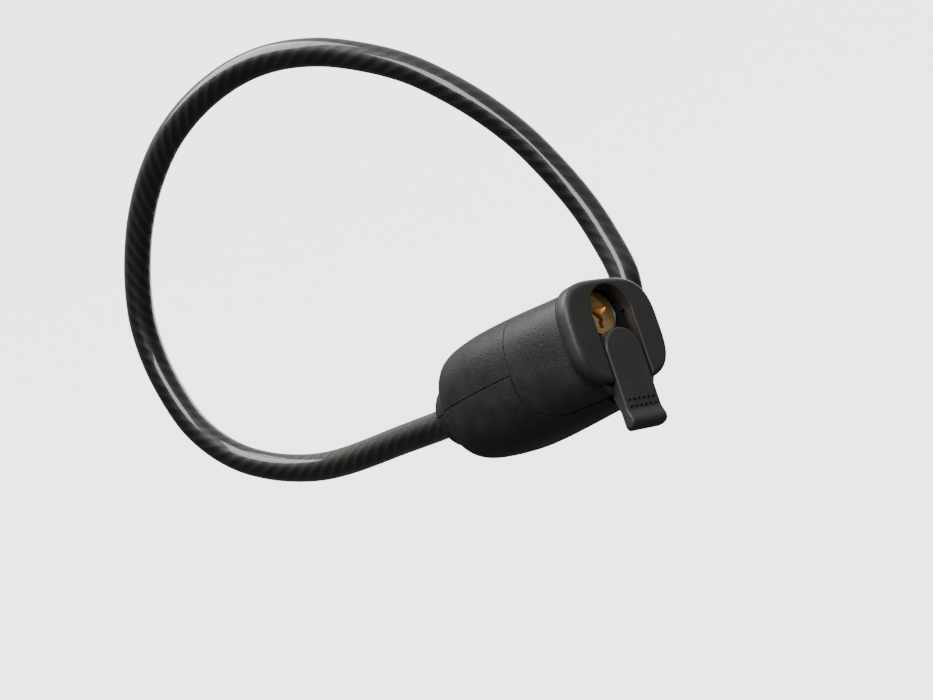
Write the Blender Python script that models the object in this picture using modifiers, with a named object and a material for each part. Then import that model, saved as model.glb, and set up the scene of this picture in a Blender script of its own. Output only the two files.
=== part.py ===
"""Cable lock: a plastic-cased key lock head with a fixed cable whose free end plugs into the head's side.

Head axes: X runs from the cable collar to the key face, Z up the key face, Y to the side where the
locking pin goes in. The world origin is the middle of that socket's mouth. Shapes are drawn from the
head's datum instead: the middle of the key face's plane, at the height of the cable's axis. Everything
hangs from one empty there.
"""

import math

import bmesh
import bpy
import numpy as np
from mathutils import Matrix, Vector

MM = 0.001
GAP = 0.3 * MM

# Head: places along X are measured back from the key face, heights from the cable's axis.
DATUM = Vector((40.0, -19.0, 4.0)) * MM
WALL = 1.6 * MM
BODY_END = -70.5 * MM
SEAM_X = -32.5 * MM
SEAM_BOTTOM = -17.4 * MM
FRONT_WALL = -9.0 * MM
TONGUE_END = -2.4 * MM
# distance from the face, half width, height above the axis, depth below it, squareness
SECTIONS = (
    (-70.5, 13.2, 14.8, 14.2, 2.3),
    (-69.4, 14.7, 16.6, 16.0, 2.4),
    (-66.0, 16.2, 18.3, 18.0, 2.5),
    (-60.0, 17.2, 19.2, 19.5, 2.6),
    (-50.0, 17.7, 19.6, 20.7, 2.7),
    (-40.0, 17.3, 19.4, 21.0, 2.7),
    (-30.0, 16.4, 18.9, 20.8, 2.7),
    (-20.0, 15.0, 18.2, 20.5, 2.7),
    (-12.0, 13.6, 17.7, 20.3, 2.7),
    (-8.0, 13.0, 17.2, 20.2, 2.7),
    (-2.4, 13.0, 17.0, 20.0, 2.7),
)

# Key face
FLANGE_DEPTH = 6.0 * MM
FLANGE_CENTRE_Z = 1.5 * MM
FLANGE_HALF_WIDTH = 18.8
FLANGE_HALF_HEIGHT = 16.2
FLANGE_SQUARENESS = 3.2
SLOT_HALF = 8.4 * MM
SLOT_DEPTH = 5.7 * MM
SLOT_ARCH_Z = 7.0 * MM
GROOVE_HALF = 9.3 * MM

# Key cylinder, on an axis of its own above the cable's axis
KEY_Z = 8.4 * MM
RING_RADIUS = 7.9 * MM
BARREL_RADIUS = 7.2 * MM
BARREL_END = -30.8 * MM
PLUG_FACE_RADIUS = 6.7 * MM
PLUG_RADIUS = 5.4 * MM
PLUG_CLEARANCE = 0.08 * MM
KEYWAY_WIDTH = 2.0 * MM
CRANK = 2.83 * MM
CRANK_REST = math.radians(-45)
CRANK_PIN_RADIUS = 1.4 * MM

# Dust cover, shown slid down and open
COVER_HALF = 7.4 * MM
COVER_TOP = 2.1 * MM
COVER_BOTTOM = -28.7 * MM
COVER_THICK = 4.4 * MM

# Socket and locking pin
PIN_X = -40.0 * MM
PIN_Z = -4.0 * MM
SOCKET_FACE_Y = 19.0 * MM
PIN_RADIUS = 4.5 * MM
PIN_GROOVE_RADIUS = 3.2 * MM
ELBOW_Y = 44.0 * MM
ELBOW_RADIUS = 7.0 * MM
CABLE_END_DIRECTION = Vector((-0.34, 0.0, -0.94)).normalized()

# Latch, shown drawn down and free of the pin's groove
LATCH_FRONT_X = -33.2 * MM
LATCH_BOTTOM = -14.0 * MM

# Cable
CABLE_RADIUS = 5.0 * MM
CABLE_POINTS = 46
CABLE_ROUTE = (
    (-74.6, 0.0, 0.0),
    (-88.0, 0.0, 0.2),
    (-98.0, -0.8, 0.8),
    (-111.0, -2.0, 1.7),
    (-124.0, -3.8, 2.3),
    (-137.0, -6.0, 3.2),
    (-148.0, -8.4, 4.8),
    (-159.0, -11.4, 7.9),
    (-170.0, -15.3, 12.7),
    (-180.0, -19.4, 19.2),
    (-188.0, -23.4, 27.8),
    (-194.0, -27.0, 38.5),
    (-197.5, -30.0, 52.0),
    (-198.8, -32.4, 66.0),
    (-197.5, -34.0, 80.0),
    (-193.0, -34.8, 92.5),
    (-186.5, -34.8, 104.5),
    (-178.0, -34.2, 116.0),
    (-167.0, -32.4, 127.0),
    (-153.0, -29.4, 136.3),
    (-137.0, -24.4, 142.6),
    (-120.0, -18.0, 145.2),
    (-104.6, -11.0, 143.8),
    (-89.5, -3.0, 138.2),
    (-76.5, 5.2, 129.6),
    (-65.5, 13.2, 119.6),
    (-56.8, 20.8, 107.8),
    (-50.2, 28.0, 95.8),
    (-45.0, 34.6, 83.0),
    (-40.8, 40.2, 68.6),
    (-37.2, 44.0, 54.6),
    (-34.2, 45.6, 41.0),
    (-31.6, 45.4, 28.5),
    (-32.1, 44.4, 19.0),
)
CABLE_TAIL = 15.5 * MM


def clear_scene():
    for old in list(bpy.data.objects):
        bpy.data.objects.remove(old, do_unlink=True)


def collection(name):
    made = bpy.data.collections.new(name)
    bpy.context.scene.collection.children.link(made)
    return made


def material(name, colour, roughness, metallic=0.0):
    made = bpy.data.materials.new(name)
    made.use_nodes = True
    shader = made.node_tree.nodes["Principled BSDF"]
    shader.inputs["Base Color"].default_value = (*colour, 1.0)
    shader.inputs["Roughness"].default_value = roughness
    shader.inputs["Metallic"].default_value = metallic
    made.diffuse_color = (*colour, 1.0)
    return made


def add(name, mesh, finish=None, location=(0, 0, 0), rotation=(0, 0, 0)):
    """Puts a mesh in the scene under the datum: a part if it has a finish, else a cutter."""
    made = bpy.data.objects.new(name, mesh)
    made.parent = DATUM_EMPTY
    made.location = location
    made.rotation_euler = rotation
    if finish is None:
        CUTTERS.objects.link(made)
        made.hide_render = True
        made.display_type = "WIRE"
    else:
        PARTS.objects.link(made)
        mesh.materials.append(finish)
    return made


def mesh_from(bm, name):
    if bm.calc_volume(signed=True) < 0:
        bmesh.ops.reverse_faces(bm, faces=bm.faces)
    mesh = bpy.data.meshes.new(name)
    bm.to_mesh(mesh)
    bm.free()
    mesh.shade_smooth()
    mesh.set_sharp_from_angle(angle=math.radians(35))
    return mesh


def turn_to(axis):
    """The rotation that lays a shape drawn along Z along X or Y instead."""
    turns = {
        "X": Matrix.Rotation(math.radians(90), 4, "Y"),
        "Y": Matrix.Rotation(math.radians(-90), 4, "X"),
        "Z": Matrix.Identity(4),
    }
    return turns[axis]


def rod(name, radius, start, end, axis, centre, finish=None, sides=32, end_radius=None):
    """A cylinder or cone along an axis, from start to end on it; centre gives its place across the axis."""
    bm = bmesh.new()
    bmesh.ops.create_cone(
        bm,
        cap_ends=True,
        segments=sides,
        radius1=radius,
        radius2=radius if end_radius is None else end_radius,
        depth=end - start,
    )
    bm.transform(turn_to(axis))
    place = Vector(centre)
    place["XYZ".index(axis)] = (start + end) / 2
    return add(name, mesh_from(bm, name), finish, place)


def block(name, low, high, finish=None, bevel=0.0):
    """A box between two corners, in millimetres, with rounded edges if asked."""
    low, high = Vector(low) * MM, Vector(high) * MM
    bm = bmesh.new()
    bmesh.ops.create_cube(bm, size=1.0)
    bmesh.ops.scale(bm, vec=high - low, verts=bm.verts)
    made = add(name, mesh_from(bm, name), finish, (low + high) / 2)
    if bevel:
        rounding = made.modifiers.new("rounded edges", "BEVEL")
        rounding.width = bevel
        rounding.segments = 2
    return made


def turned(name, profile, axis, centre, finish=None, steps=32, closed=False):
    """A profile of (radius, place along the axis) in millimetres, turned round an axis.

    It starts at the far end and runs down the outer side. A closed profile makes a ring."""
    points = [(radius * MM, 0.0, along * MM) for radius, along in profile]
    edges = [(i, i + 1) for i in range(len(points) - 1)]
    if closed:
        edges.append((len(points) - 1, 0))
    mesh = bpy.data.meshes.new(name)
    mesh.from_pydata(points, edges, [])
    made = add(name, mesh, finish, centre, turn_to(axis).to_euler())
    screw = made.modifiers.new("turned", "SCREW")
    screw.steps = steps
    screw.render_steps = steps
    screw.use_merge_vertices = True
    screw.merge_threshold = 0.00001
    screw.use_smooth_shade = True
    return made


def outline_plate(name, outline, low, high, axis, finish=None, bevel=0.0):
    """A flat outline in millimetres, extruded along Y (outline in X, Z) or along X (outline in Y, Z)."""
    curve = bpy.data.curves.new(name, "CURVE")
    curve.dimensions = "2D"
    curve.fill_mode = "BOTH"
    curve.extrude = (high - low) / 2
    spline = curve.splines.new("POLY")
    spline.points.add(len(outline) - 1)
    for point, (across, up) in zip(spline.points, outline):
        point.co = (across * MM, up * MM, 0.0, 1.0)
    spline.use_cyclic_u = True
    drawn = bpy.data.objects.new(name + "_outline", curve)
    bpy.context.scene.collection.objects.link(drawn)
    bpy.context.view_layer.update()
    flat = bpy.data.meshes.new_from_object(drawn.evaluated_get(bpy.context.evaluated_depsgraph_get()))
    bpy.data.objects.remove(drawn)
    bm = bmesh.new()
    bm.from_mesh(flat)
    bmesh.ops.remove_doubles(bm, verts=bm.verts, dist=0.000005)
    bmesh.ops.dissolve_limit(bm, angle_limit=math.radians(0.5), verts=bm.verts, edges=bm.edges)
    middle = (low + high) / 2
    if axis == "Y":
        stand = Matrix(((1, 0, 0, 0), (0, 0, -1, middle), (0, 1, 0, 0), (0, 0, 0, 1)))
    else:
        stand = Matrix(((0, 0, 1, middle), (1, 0, 0, 0), (0, 1, 0, 0), (0, 0, 0, 1)))
    bm.transform(stand)
    made = add(name, mesh_from(bm, name), finish)
    if bevel:
        rounding = made.modifiers.new("rounded edges", "BEVEL")
        rounding.width = bevel
        rounding.segments = 3
        rounding.angle_limit = math.radians(50)
    return made


def boolean(target, operation, *others):
    for other in others:
        step = target.modifiers.new(f"{operation.lower()} {other.name}", "BOOLEAN")
        step.operation = operation
        step.object = other
    return target


def ring_of(x, half_width, above, below, squareness, shrink=0.0, sides=48):
    """One rounded-square cross-section of the casing, as points round its edge."""
    points = []
    for k in range(sides):
        angle = 2 * math.pi * k / sides
        c, s = math.cos(angle), math.sin(angle)
        across = (half_width * MM - shrink) * math.copysign(abs(c) ** (2 / squareness), c)
        reach = (above if s >= 0 else below) * MM - shrink
        points.append((x, across, reach * math.copysign(abs(s) ** (2 / squareness), s)))
    return points


def casing_loft(name, shrink, front, back):
    """The casing's form between two places along X, made smaller all round by shrink."""
    table = np.array(SECTIONS)
    places = sorted({back, front, *(x * MM for x in table[:, 0] if back < x * MM < front)})
    bm = bmesh.new()
    rings = []
    for x in places:
        shape = [float(np.interp(x / MM, table[:, 0], table[:, k])) for k in range(1, 5)]
        rings.append([bm.verts.new(p) for p in ring_of(x, *shape, shrink)])
    for one, two in zip(rings, rings[1:]):
        for k in range(len(one)):
            after = (k + 1) % len(one)
            bm.faces.new((one[k], one[after], two[after], two[k]))
    bm.faces.new(rings[0][::-1])
    bm.faces.new(rings[-1])
    return add(name, mesh_from(bm, name))


def arc(centre, radius, start, end, count):
    """Points of an arc; angles in degrees from the first axis towards the second."""
    angles = [math.radians(start + (end - start) * k / (count - 1)) for k in range(count)]
    return [(centre[0] + radius * math.cos(a), centre[1] + radius * math.sin(a)) for a in angles]


def seam_curve(offset):
    """The seam's rounded turn from the upright part to the part along the bottom, in X and Z."""
    centre = (-19.0, -4.0)
    reach = (-SEAM_X / MM + centre[0] + offset, -SEAM_BOTTOM / MM + centre[1] + offset)
    angles = [math.radians(180 + 90 * k / 8) for k in range(9)]
    return [(centre[0] + reach[0] * math.cos(a), centre[1] + reach[1] * math.sin(a)) for a in angles]


def casing_solid():
    """The whole outer form of the casing with its cable collar."""
    outer = casing_loft("casing_form", 0.0, TONGUE_END, BODY_END)
    collar = turned(
        "collar_form",
        [
            (0, -60),
            (12.4, -60),
            (12.4, -72),
            (12.0, -75),
            (10.9, -77.6),
            (8.9, -79.2),
            (7.6, -79.5),
            (0, -79.5),
        ],
        "X",
        (0, 0, 0),
    )
    return boolean(outer, "UNION", collar)


def hollow_cutter():
    """The room inside the casing, less the posts that the casing screws go through."""
    room = casing_loft("casing_room", WALL, FRONT_WALL, BODY_END + WALL)
    for x, y in SCREW_PLACES:
        place = (x * MM, y * MM, 0)
        post = rod(f"post_form_{x:.0f}_{y:.0f}", 2.8 * MM, -22 * MM, 22 * MM, "Z", place, sides=20)
        boolean(room, "DIFFERENCE", post)
    return room


def cable_line():
    """A smooth curve through the route's own points, read at even steps from the head to the far end."""
    tail_start = ELBOW + CABLE_END_DIRECTION * -CABLE_TAIL
    points = [Vector(p) * MM for p in CABLE_ROUTE] + [tail_start]
    before = points[0] + (points[0] - points[1])
    after = points[-1] + CABLE_END_DIRECTION * (points[-1] - points[-2]).length
    knots = [before, *points, after]
    fine = []
    for a, b, c, d in zip(knots, knots[1:], knots[2:], knots[3:]):
        for k in range(12):
            t = k / 12
            squared, cubed = (2 * a - 5 * b + 4 * c - d) * t**2, (3 * b - a - 3 * c + d) * t**3
            fine.append(0.5 * (2 * b + (c - a) * t + squared + cubed))
    fine.append(points[-1])
    fine = np.array([tuple(p) for p in fine])
    walked = np.concatenate(([0.0], np.cumsum(np.linalg.norm(np.diff(fine, axis=0), axis=1))))
    even = np.linspace(0, walked[-1], CABLE_POINTS)
    return [tuple(np.interp(s, walked, fine[:, k]) for k in range(3)) for s in even]


def coil(name, radius, wire, low, high, turns, axis, centre, finish):
    """A compression spring: a helix of wire between two places along an axis."""
    steps = int(turns * 10) + 1
    curve = bpy.data.curves.new(name, "CURVE")
    curve.dimensions = "3D"
    curve.bevel_depth = wire
    curve.bevel_resolution = 1
    curve.render_resolution_u = 0
    curve.use_fill_caps = True
    spline = curve.splines.new("POLY")
    spline.points.add(steps - 1)
    for k, point in enumerate(spline.points):
        angle = 2 * math.pi * turns * k / (steps - 1)
        along = low + wire + (high - low - 2 * wire) * k / (steps - 1)
        place = Vector((radius * math.cos(angle), radius * math.sin(angle), along))
        point.co = (*(turn_to(axis) @ place), 1.0)
    made = bpy.data.objects.new(name, curve)
    made.parent = DATUM_EMPTY
    made.location = centre
    curve.materials.append(finish)
    PARTS.objects.link(made)
    return made


# ---------------------------------------------------------------- scene and finishes
clear_scene()
PARTS = collection("cable_lock")
CUTTERS = collection("cutters")
DATUM_EMPTY = bpy.data.objects.new("head_datum", None)
DATUM_EMPTY.location = DATUM
PARTS.objects.link(DATUM_EMPTY)

BLACK_PLASTIC = material("black_plastic", (0.045, 0.045, 0.045), 0.55)
FACE_PLASTIC = material("face_plastic", (0.05, 0.05, 0.05), 0.45)
RUBBER = material("black_rubber", (0.02, 0.02, 0.02), 0.8)
ZINC = material("zinc", (0.35, 0.36, 0.38), 0.4, 1.0)
STEEL = material("steel", (0.55, 0.55, 0.56), 0.3, 1.0)
BRASS = material("brass", (0.78, 0.55, 0.25), 0.3, 1.0)
JACKET = material("smoke_pvc", (0.06, 0.05, 0.045), 0.15)

SCREW_PLACES = [(-63.0, 12.9), (-54.0, 12.9)]
ELBOW = Vector((PIN_X, ELBOW_Y, PIN_Z))
KEY_AXIS = (0.0, 0.0, KEY_Z)
PIN_AXIS = (PIN_X, 0.0, PIN_Z)

# ---------------------------------------------------------------- shared cutters
casing_room = hollow_cutter()
boss_hole = rod("boss_hole", 8.3 * MM, 8 * MM, 30 * MM, "Y", PIN_AXIS, sides=40)
bush_hole = rod("bush_hole", 7.2 * MM, -90 * MM, -66 * MM, "X", (0, 0, 0))
cover_slot = outline_plate(
    "cover_slot",
    [(-SLOT_HALF / MM, -40), (SLOT_HALF / MM, -40), *arc((0, SLOT_ARCH_Z / MM), SLOT_HALF / MM, 0, 180, 17)],
    -SLOT_DEPTH,
    5 * MM,
    "X",
)
cover_grooves = block("cover_grooves", (-4.8, -GROOVE_HALF / MM, -40), (-2.9, GROOVE_HALF / MM, 8.0))
ring_hole = rod("ring_hole", RING_RADIUS + GAP, -8.8 * MM, -5.2 * MM, "X", KEY_AXIS, sides=40)
barrel_hole = rod("barrel_hole", BARREL_RADIUS + GAP, -12 * MM, -5 * MM, "X", KEY_AXIS, sides=40)
detent_hole = rod("detent_hole", 1.5 * MM, -12 * MM, -3 * MM, "X", (0, 0, -9.5 * MM), sides=16)

# ---------------------------------------------------------------- casing shells
flange_ring = ring_of(0, FLANGE_HALF_WIDTH, FLANGE_HALF_HEIGHT, FLANGE_HALF_HEIGHT, FLANGE_SQUARENESS)
flange_form = outline_plate(
    "flange_form",
    [(y / MM, (z + FLANGE_CENTRE_Z) / MM) for _, y, z in flange_ring],
    -FLANGE_DEPTH,
    0.0,
    "X",
    bevel=1.5 * MM,
)
front_cover = outline_plate(
    "front_cover",
    [(-32.35, 30), *seam_curve(-0.15), (10, -17.25), (10, 30)],
    -30 * MM,
    30 * MM,
    "Y",
    BLACK_PLASTIC,
)
casing_form = casing_solid()
boolean(front_cover, "INTERSECT", casing_form)
boolean(front_cover, "UNION", flange_form)
boolean(front_cover, "DIFFERENCE", casing_room, cover_slot, cover_grooves, ring_hole, barrel_hole, boss_hole)
boolean(front_cover, "DIFFERENCE", detent_hole)

upper_shell = block("upper_shell", (-95, -40, 0.15), (-32.65, 40, 40), BLACK_PLASTIC)
boolean(upper_shell, "INTERSECT", casing_form)
boolean(upper_shell, "DIFFERENCE", casing_room, boss_hole, bush_hole)

lower_shell = outline_plate(
    "lower_shell",
    [(-95, -0.15), (-32.65, -0.15), *seam_curve(0.15), (10, -17.55), (10, -40), (-95, -40)],
    -30 * MM,
    30 * MM,
    "Y",
    BLACK_PLASTIC,
)
boolean(lower_shell, "INTERSECT", casing_form)
boss_corner = block("boss_corner", (-34.0, 8, -1.5), (-32.0, 30, 1.0))
boolean(lower_shell, "DIFFERENCE", casing_room, cover_slot, boss_hole, boss_corner, bush_hole)

for x, y in SCREW_PLACES:
    spot = (x * MM, y * MM, 0)
    shank_hole = rod(f"shank_hole_{x:.0f}_{y:.0f}", 1.3 * MM, -22 * MM, 9 * MM, "Z", spot, sides=16)
    head_hole = rod(f"head_hole_{x:.0f}_{y:.0f}", 2.2 * MM, -30 * MM, -8.3 * MM, "Z", spot, sides=16)
    boolean(lower_shell, "DIFFERENCE", shank_hole, head_hole)
    boolean(upper_shell, "DIFFERENCE", shank_hole)

for number, (x, y) in enumerate(SCREW_PLACES, 1):
    turned(
        f"shell_screw_{number}",
        [(0, 8.0), (0.6, 8.0), (1.0, 7.2), (1.0, -8.6), (1.9, -8.6), (1.9, -10.0), (1.4, -10.4), (0, -10.4)],
        "Z",
        (x * MM, y * MM, 0),
        STEEL,
        steps=12,
    )

# ---------------------------------------------------------------- chassis: zinc cradle of the works
chassis = block("chassis", (-47.5, -12, -16.2), (-30.9, 12.6, 13.4), ZINC, bevel=3 * MM)
cradle = block("cradle_form", (-32, -9.5, -13), (-9.4, 9.5, 8.2), bevel=1.5 * MM)
cable_seat = block("cable_seat_form", (-69, -9.4, -9.4), (-46, 9.4, 9.4), bevel=2 * MM)
boss_form = rod("boss_form", 8.0 * MM, 6 * MM, SOCKET_FACE_Y, "Y", PIN_AXIS, sides=40)
chassis_limit = casing_loft("chassis_limit", WALL + 0.35 * MM, FRONT_WALL - GAP, BODY_END + WALL + GAP)
boolean(chassis, "UNION", cradle, cable_seat)
boolean(chassis, "INTERSECT", chassis_limit)
boolean(chassis, "UNION", boss_form)
barrel_bore = rod("barrel_bore", BARREL_RADIUS + 0.1 * MM, -30.9 * MM, 0.0, "X", KEY_AXIS, sides=40)
crank_pocket = block("crank_pocket", (-35.5, -6.0, -14.9), (-30.7, 9.3, 15.0))
fork_pocket = block("fork_pocket", (-46.1, 6.3, -14.9), (-35.4, 9.3, 1.0))
socket_bore = rod("socket_bore", 5.7 * MM, 11.7 * MM, 25 * MM, "Y", PIN_AXIS)
pin_bore = rod("pin_bore", PIN_RADIUS + 0.08 * MM, 1.5 * MM, 25 * MM, "Y", PIN_AXIS)
ferrule_bore = rod("ferrule_bore", 7.1 * MM, -80 * MM, -51.5 * MM, "X", (0, 0, 0))
ferrule_pin_hole = rod("ferrule_pin_hole", 1.8 * MM, -12 * MM, 12 * MM, "Z", (-57 * MM, 0, 0), sides=20)
barrel_pin_hole = rod("barrel_pin_hole", 1.3 * MM, -20 * MM, 4 * MM, "Z", (-20 * MM, 0, 0), sides=16)
boolean(chassis, "DIFFERENCE", barrel_bore, crank_pocket, fork_pocket, socket_bore, pin_bore, ferrule_bore)
boolean(chassis, "DIFFERENCE", ferrule_pin_hole, barrel_pin_hole)

socket_bush = turned(
    "socket_bush",
    [(5.4, 19.0), (5.4, 12.0), (4.58, 12.0), (4.58, 19.0)],
    "Y",
    PIN_AXIS,
    STEEL,
    closed=True,
)

# ---------------------------------------------------------------- key cylinder
lock_barrel = turned(
    "lock_barrel",
    [
        (RING_RADIUS / MM, -5.9),
        (RING_RADIUS / MM, -8.5),
        (BARREL_RADIUS / MM, -8.5),
        (BARREL_RADIUS / MM, BARREL_END / MM),
        ((PLUG_RADIUS + PLUG_CLEARANCE) / MM, BARREL_END / MM),
        ((PLUG_RADIUS + PLUG_CLEARANCE) / MM, -8.0),
        ((PLUG_FACE_RADIUS + PLUG_CLEARANCE) / MM, -8.0),
        ((PLUG_FACE_RADIUS + PLUG_CLEARANCE) / MM, -5.9),
    ],
    "X",
    KEY_AXIS,
    ZINC,
    steps=40,
    closed=True,
)
pin_seat = rod("pin_seat", 1.3 * MM, -1.5 * MM, 2.6 * MM, "Z", (-20 * MM, 0, 0), sides=16)
wafer_channel = block("wafer_channel", (-28.5, -1.3, 12.0), (-10.5, 1.3, 14.9))
boolean(lock_barrel, "DIFFERENCE", pin_seat, wafer_channel)
barrel_pin = rod("barrel_pin", 1.0 * MM, -12.4 * MM, 2.3 * MM, "Z", (-20 * MM, 0, 0), STEEL, sides=12)

key_plug = turned(
    "key_plug",
    [
        (0, -5.7),
        (PLUG_FACE_RADIUS / MM, -5.7),
        (PLUG_FACE_RADIUS / MM, -7.7),
        (PLUG_RADIUS / MM, -7.7),
        (PLUG_RADIUS / MM, -31.0),
        (3.0, -31.0),
        (3.0, -31.6),
        (0, -31.6),
    ],
    "X",
    KEY_AXIS,
    BRASS,
    steps=40,
)
keyway_half = KEYWAY_WIDTH / MM / 2
keyway = block("keyway", (-28.5, -keyway_half, KEY_Z / MM - 3.7), (-4.0, keyway_half, KEY_Z / MM + 2.6))
funnel = rod(
    "funnel", 0.6 * MM, -9.2 * MM, -5.4 * MM, "X", (0, 0, KEY_Z + 0.6 * MM), sides=4, end_radius=4.6 * MM
)
tail_hole = rod("tail_hole", 1.3 * MM, -34 * MM, -29.2 * MM, "X", KEY_AXIS, sides=16)
boolean(key_plug, "DIFFERENCE", keyway, funnel, tail_hole)

WAFER_PLACES = [-11.6 - 2.9 * k for k in range(6)]
for x in WAFER_PLACES:
    low, high = KEY_Z / MM - 6.5, KEY_Z / MM + 6.5
    slot = block(f"wafer_slot_{-x:.0f}", (x - 0.75, -3.4, low), (x + 0.75, 3.4, high))
    boolean(key_plug, "DIFFERENCE", slot)

wafer_window = block("wafer_window", (-30.0, -1.4, KEY_Z / MM - 3.2), (-9.0, 1.4, KEY_Z / MM + 2.4))
for number, x in enumerate(WAFER_PLACES, 1):
    wafer = block(
        f"wafer_{number}", (x - 0.45, -3.1, KEY_Z / MM - 4.2), (x + 0.45, 3.1, KEY_Z / MM + 4.2), BRASS
    )
    boolean(wafer, "DIFFERENCE", wafer_window)

retaining_clip = turned(
    "retaining_clip",
    [(5.75, -31.1), (5.75, -31.5), (3.3, -31.5), (3.3, -31.1)],
    "X",
    KEY_AXIS,
    STEEL,
    steps=24,
    closed=True,
)

crank_y = CRANK * math.cos(CRANK_REST)
crank_z = CRANK * math.sin(CRANK_REST)
cam = rod("cam", 5.0 * MM, -33.0 * MM, -31.9 * MM, "X", KEY_AXIS, STEEL, sides=32)
crank_pin = rod(
    "crank_pin_form", CRANK_PIN_RADIUS, -35.3 * MM, -32.6 * MM, "X", (0, crank_y, KEY_Z + crank_z), sides=20
)
cam_hole = rod("cam_hole", 1.2 * MM, -34 * MM, -31 * MM, "X", KEY_AXIS, sides=16)
cam_counterbore = rod("cam_counterbore", 1.8 * MM, -34 * MM, -32.3 * MM, "X", KEY_AXIS, sides=16)
boolean(cam, "UNION", crank_pin)
boolean(cam, "DIFFERENCE", cam_hole, cam_counterbore)
cam_screw = turned(
    "cam_screw",
    [(0, -29.5), (0.85, -29.5), (0.85, -32.6), (1.45, -32.6), (1.45, -33.05), (0, -33.05)],
    "X",
    KEY_AXIS,
    STEEL,
    steps=12,
)

# ---------------------------------------------------------------- latch
latch_foot = LATCH_BOTTOM / MM
latch = block("latch", (-45.8, 6.6, latch_foot), (LATCH_FRONT_X / MM, 9.0, -7.4), STEEL)
slot_arm = block("slot_arm_form", (-35.25, 0.0, latch_foot), (LATCH_FRONT_X / MM, 9.0, 9.4))
spring_ear = block("spring_ear_form", (-35.25, -5.6, -2.2), (LATCH_FRONT_X / MM, 1.0, 0.2))
boolean(latch, "UNION", slot_arm, spring_ear)
notch = rod("notch", 3.4 * MM, 5 * MM, 10 * MM, "Y", (PIN_X, 0, PIN_Z - 4.0 * MM), sides=24)
notch_mouth = block("notch_mouth", (-43.4, 5, -8.0), (-36.6, 10, 0))
crank_slot = block("crank_slot", (-36.5, 0.5, KEY_Z / MM - 3.56), (-32.0, 4.4, KEY_Z / MM - 0.44))
boolean(latch, "DIFFERENCE", notch, notch_mouth, crank_slot)
latch_spring = coil(
    "latch_spring", 1.1 * MM, 0.22 * MM, -14.7 * MM, -2.5 * MM, 6, "Z", (-33.3 * MM, -3.9 * MM, 0), STEEL
)

# ---------------------------------------------------------------- fixed end of the cable
cable_ferrule = turned(
    "cable_ferrule",
    [(0, -51.9), (6.2, -51.9), (6.8, -52.5), (6.8, -73.6), (6.2, -74.3), (0, -74.3)],
    "X",
    (0, 0, 0),
    STEEL,
)
cross_hole = rod("cross_hole", 1.8 * MM, -12 * MM, 12 * MM, "Z", (-57 * MM, 0, 0), sides=20)
boolean(cable_ferrule, "DIFFERENCE", cross_hole)
ferrule_pin = rod("ferrule_pin", 1.5 * MM, -9.2 * MM, 9.2 * MM, "Z", (-57 * MM, 0, 0), STEEL, sides=16)
strain_bush = turned(
    "strain_bush",
    [(6.9, -74.8), (6.9, -79.0), (6.3, -79.6), (5.3, -79.6), (5.3, -74.8)],
    "X",
    (0, 0, 0),
    RUBBER,
    closed=True,
)

# ---------------------------------------------------------------- dust cover, on its own slide
cover_half, cover_foot = COVER_HALF / MM, COVER_BOTTOM / MM
cover_top = COVER_TOP / MM - cover_half
dust_cover = outline_plate(
    "dust_cover",
    [
        (-cover_half, cover_foot + 2.0),
        (2.0 - cover_half, cover_foot),
        (cover_half - 2.0, cover_foot),
        (cover_half, cover_foot + 2.0),
        *arc((0, cover_top), cover_half, 0, 180, 17),
    ],
    -COVER_THICK,
    0.0,
    "X",
    FACE_PLASTIC,
)
cover_ribs = block("cover_ribs_form", (-4.4, -9.0, -13.5), (-3.3, 9.0, -6.0))
cover_lip = block("cover_lip_form", (-5.3, -cover_half, -27.6), (-3.0, cover_half, -24.0))
cover_dimple = rod("cover_dimple", 1.3 * MM, -6 * MM, -3.6 * MM, "X", (0, 0, -9.5 * MM), sides=16)
boolean(dust_cover, "UNION", cover_ribs, cover_lip)
boolean(dust_cover, "DIFFERENCE", cover_dimple)
detent_ball = turned(
    "detent_ball",
    [(1.05 * math.cos(a), -5.6 + 1.05 * math.sin(a)) for a in np.radians(range(90, -91, -30))],
    "X",
    (0, 0, -9.5 * MM),
    STEEL,
    steps=12,
)
detent_spring = coil(
    "detent_spring", 0.85 * MM, 0.15 * MM, -9.1 * MM, -6.7 * MM, 3, "X", (0, 0, -9.5 * MM), STEEL
)

# ---------------------------------------------------------------- cable and the end that pulls out
route = cable_line()
cable_curve = bpy.data.curves.new("cable", "CURVE")
cable_curve.dimensions = "3D"
cable_curve.bevel_depth = CABLE_RADIUS
cable_curve.bevel_resolution = 3
cable_curve.render_resolution_u = 0
cable_curve.use_fill_caps = True
cable_spline = cable_curve.splines.new("POLY")
cable_spline.points.add(len(route) - 1)
for point, place in zip(cable_spline.points, route):
    point.co = (*place, 1.0)
cable_curve.materials.append(JACKET)
cable = bpy.data.objects.new("cable", cable_curve)
cable.parent = DATUM_EMPTY
PARTS.objects.link(cable)

tilt = CABLE_END_DIRECTION.to_track_quat("Z", "X").to_euler()
crimp_sleeve = rod("crimp_sleeve", 6.2 * MM, -4.0 * MM, 4.0 * MM, "Z", (0, 0, 0), STEEL)
crimp_sleeve.location = ELBOW - CABLE_END_DIRECTION * (11.0 * MM)
crimp_sleeve.rotation_euler = tilt

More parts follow.
